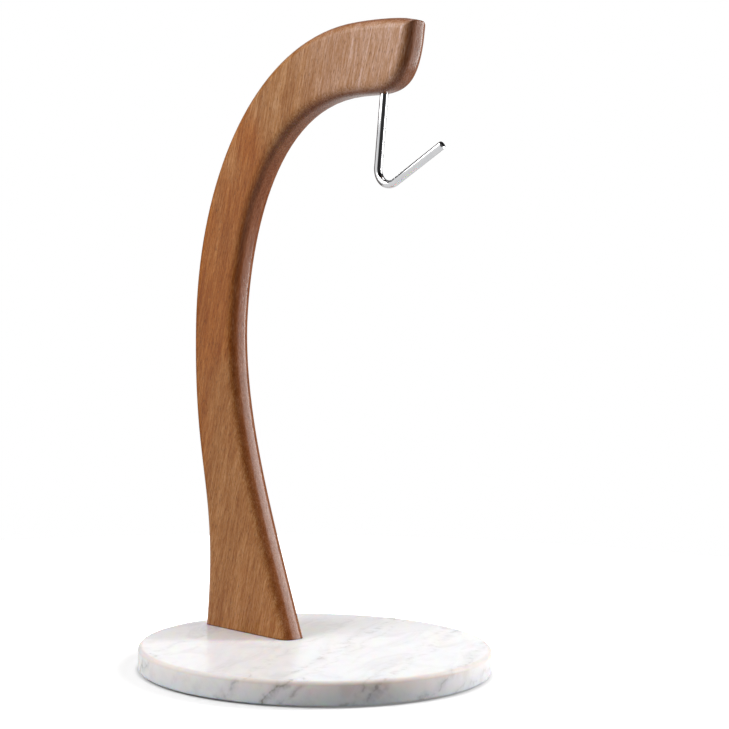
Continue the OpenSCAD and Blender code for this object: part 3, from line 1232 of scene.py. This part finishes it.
def light_world():
    """The white sweep with its two black cards, the dark room and a dim ceiling."""
    world = bpy.data.worlds.new("white_studio")
    bpy.context.scene.world = world
    world.use_nodes = True
    tree = world.node_tree
    way = node(tree, "ShaderNodeTexCoord", {}).outputs["Generated"]
    level = vector_calc(tree, "NORMALIZE", vector_calc(tree, "MULTIPLY", way, (1, 1, 0)))
    to_room, to_camera = (
        vector_calc(tree, "DOT_PRODUCT", level, way_to(bearing)) for bearing in (ROOM_BEARING, 0)
    )
    off_card = calc(tree, "ABSOLUTE", calc(tree, "SUBTRACT", to_camera, CARD_MIDDLE))
    walls = ramp(tree, to_room, *ROOM_EDGES, 1.0, ROOM_DARK)
    walls = calc(tree, "MULTIPLY", walls, ramp(tree, off_card, *CARD_EDGES, CARD_DARK, 1.0))
    ceiling = ramp(tree, axis_part(tree, way, "Z"), *CEILING_EDGES, 1.0, CEILING)
    walls = calc(tree, "MULTIPLY", walls, ceiling)
    path = node(tree, "ShaderNodeLightPath", {}).outputs
    white = between(tree, off_mirrors(tree, path), SWEEP_LIGHT, 1.0)
    walls = calc(tree, "MULTIPLY", walls, white)
    strength = between(tree, path["Is Camera Ray"], walls, 1.0)
    fill(tree.nodes["Background"], {"Color": (1, 1, 1, 1), "Strength": strength})
    return world


print("the world has", len(light_world().node_tree.nodes), "nodes")

# %% [markdown]
# Three soft lamps do the rest. A broad one stands high on the left and lights
# the near side of the arm. A tall narrow one stands low on the right and draws
# the light line beside the dark band. One hangs above and evens out the marble.
# A lamp's watts follow from its size, so that its brightness can be chosen as a
# plain number.

# %% Set up the lamps
ARM_MIDDLE = Vector((0, 0, 0.2))
# Name, place, aim, width and height in metres, and brightness
LAMPS = [
    ("left_light", ARM_MIDDLE + way_to(-69, 38) * 1.1, ARM_MIDDLE, 0.85, 0.72, 5.2),
    ("right_light", ARM_MIDDLE + way_to(101, 10) * 0.95, ARM_MIDDLE, 0.22, 0.8, 18.4),
    ("top_light", Vector((-0.05, 0.1, 1.35)), Vector((0, 0, 0)), 0.6, 0.6, 4.4),
]


def add_lamp(name, place, aim, width, height, brightness):
    """A soft light of that size and brightness, where 1 looks like lit white paper."""
    data = bpy.data.lights.new(name, "AREA")
    data.shape = "RECTANGLE"
    data.size = width
    data.size_y = height
    data.energy = brightness * math.pi * width * height
    lamp = bpy.data.objects.new(name, data)
    bpy.context.scene.collection.objects.link(lamp)
    lamp.location = place
    lamp.rotation_euler = (aim - place).to_track_quat("-Z", "Y").to_euler()
    lamp.visible_camera = False
    print(name, "stands", round((place - aim).length, 2), "m away")


for lamp in LAMPS:
    add_lamp(*lamp)

# %% [markdown]
# ## The floor
# The floor is a white sheet that runs out into the white of the sweep. To the camera it glows: a
# little under and beside the disc, where it must keep the soft shadow, and fully from three
# centimetres out. The glow is centred a few millimetres to the left, away from the narrow lamp,
# so that it stays low further out on that side: the shadow there is partly the lamps' own and
# partly painted by the dimmer glow.

# %% Let the floor glow
SHADOW_SHIFT = 5 * MM
GLOW_START = (disc_radius - 6 * MM, disc_radius - 2 * MM)
GLOW_END = (disc_radius, disc_radius + 30 * MM)
GLOW_NEAR = 0.17
GLOW_FAR = 1.0


def floor_glow(tree):
    """How far out a point lies, and how much the floor glows there for the camera."""
    # The glow's centre is moved to the left, which paints the floor there dimmer for longer
    moved = vector_calc(tree, "SUBTRACT", object_place(tree), way_to(-90) * SHADOW_SHIFT)
    reach = vector_calc(tree, "LENGTH", moved)
    near = ramp(tree, reach, *GLOW_START, 0, GLOW_NEAR)
    far = ramp(tree, reach, *GLOW_END, 0, GLOW_FAR - GLOW_NEAR)
    return reach, calc(tree, "ADD", near, far)


print("the floor is white from", round(GLOW_END[1] / MM, 1), "mm out")

# %% [markdown]
# Other rays meet another floor. In chrome it is an even pale grey. To diffuse
# light it is a darker sheet, so that the stone's wall keeps its shade, and light
# from below passes it under the disc, so that the pads and screws can be seen by
# a camera that looks up. For that camera the sheet is clear from below.

# %% Lay the floor
TABLE_RADIUS = 0.6
FLOOR_SEEN = 0.85
FLOOR_TRUE = 0.4
FLOOR_MIRRORED = 0.95
UNDER_LIGHT = (disc_radius - 30 * MM, disc_radius - 2 * MM)


def make_sheet():
    """The white sheet, as the camera, mirrors and diffuse light each find it."""
    sheet = bpy.data.materials.new("white_sheet")
    sheet.use_nodes = True
    tree = sheet.node_tree
    tree.nodes.clear()
    path = node(tree, "ShaderNodeLightPath", {}).outputs
    seen = path["Is Camera Ray"]
    mirrored = off_mirrors(tree, path)
    level = between(tree, seen, FLOOR_TRUE, FLOOR_SEEN)
    level = calc(tree, "MULTIPLY", level, calc(tree, "SUBTRACT", 1.0, mirrored))
    white = node(tree, "ShaderNodeCombineColor", {0: level, 1: level, 2: level}).outputs[0]
    paper = node(tree, "ShaderNodeBsdfDiffuse", {"Color": white}).outputs[0]

    reach, glow = floor_glow(tree)
    in_mirrors = calc(tree, "MULTIPLY", mirrored, FLOOR_MIRRORED)
    glow = calc(tree, "ADD", calc(tree, "MULTIPLY", seen, glow), in_mirrors)
    light = node(tree, "ShaderNodeEmission", {"Strength": glow}).outputs[0]
    top = node(tree, "ShaderNodeAddShader", {0: paper, 1: light}).outputs[0]

    below = node(tree, "ShaderNodeNewGeometry", {}).outputs["Backfacing"]
    under_disc = ramp(tree, reach, *UNDER_LIGHT, 1.0, 0.0)
    passed = calc(tree, "MULTIPLY", path["Is Diffuse Ray"], under_disc)
    clear = node(tree, "ShaderNodeBsdfTransparent", {}).outputs[0]
    inputs = {0: calc(tree, "MAXIMUM", below, passed), 1: top, 2: clear}
    surface = node(tree, "ShaderNodeMixShader", inputs).outputs[0]
    node(tree, "ShaderNodeOutputMaterial", {"Surface": surface})
    return sheet


bpy.ops.mesh.primitive_circle_add(vertices=128, radius=TABLE_RADIUS, fill_type="NGON")
floor = bpy.context.object
floor.name = "white_floor"
floor.data.materials.append(make_sheet())
floor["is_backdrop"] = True
bpy.context.scene.view_settings.view_transform = "Standard"
print(floor.name, "is", round(floor.dimensions.x, 2), "m across")

# %% [markdown]
# ## Finish
# The dressed model must be as large as its solids. The last line prints the size of the dressed
# model.

# %% Measure the dressed model
low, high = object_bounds()
print("dressed object, mm:", [round(v / MM, 1) for v in high - low])
